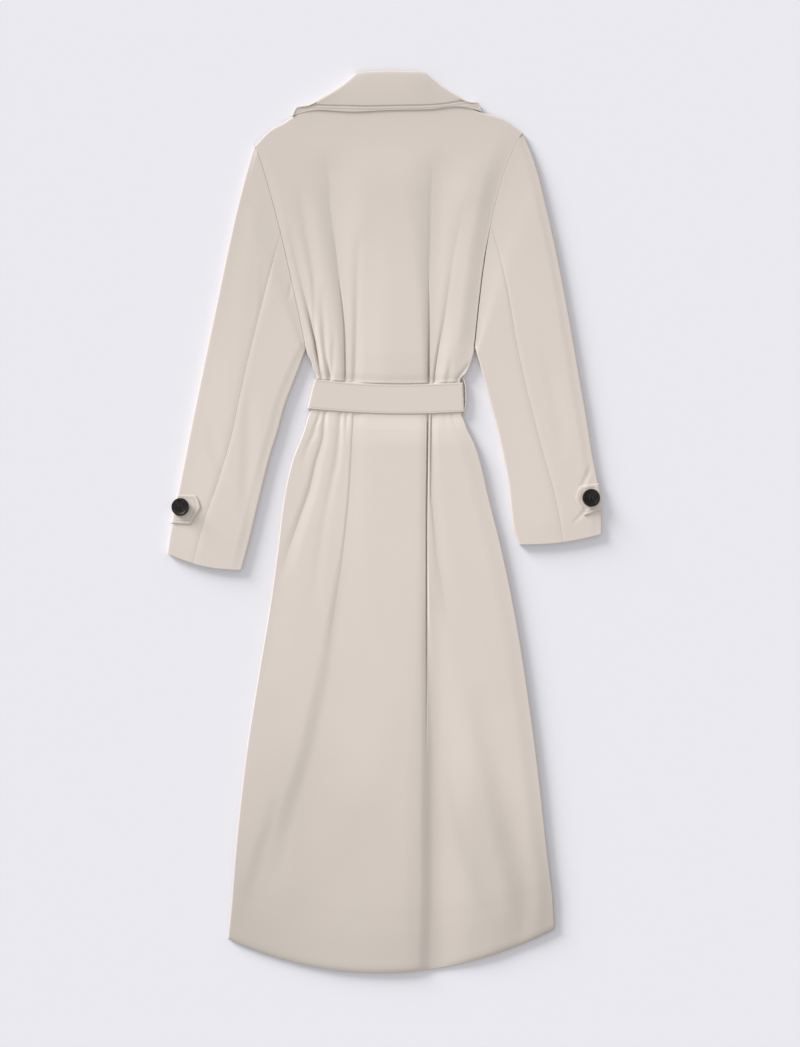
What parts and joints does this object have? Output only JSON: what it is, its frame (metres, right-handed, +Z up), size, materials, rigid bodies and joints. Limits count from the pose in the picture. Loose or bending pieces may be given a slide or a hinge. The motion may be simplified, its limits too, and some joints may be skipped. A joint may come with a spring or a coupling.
{
  "type": "trench coat laid out on its front",
  "caption": "Long belted trench coat in stone cloth, laid flat on its front with the back showing, turned-down collar, sleeves beside the body, buttoned cuff tabs.",
  "frame": {"origin": "on the surface that the coat lies on, under the middle of its outline", "axes": "+X towards the right sleeve, +Y from hem to collar, +Z up out of the back of the coat"},
  "size_m": [0.6252, 1.2972, 0.0179],
  "materials": {
    "coat_cloth": "smooth matt gabardine, plain stone colour",
    "button_plastic": "polished, near black with a faint brown mottle"
  },
  "bodies": {
    "root": {"back": "coat_cloth", "front_left": "coat_cloth", "front_right": "coat_cloth", "collar_fall": "coat_cloth", "collar_stand": "coat_cloth", "belt": "coat_cloth", "sleeve_left_upper": "coat_cloth", "sleeve_left_under": "coat_cloth", "sleeve_right_upper": "coat_cloth", "sleeve_right_under": "coat_cloth", "belt_loop_left": "coat_cloth", "belt_loop_right": "coat_cloth", "cuff_tab_left": "coat_cloth", "cuff_tab_right": "coat_cloth", "button_left": "button_plastic", "button_right": "button_plastic"}
  },
  "joints": []
}
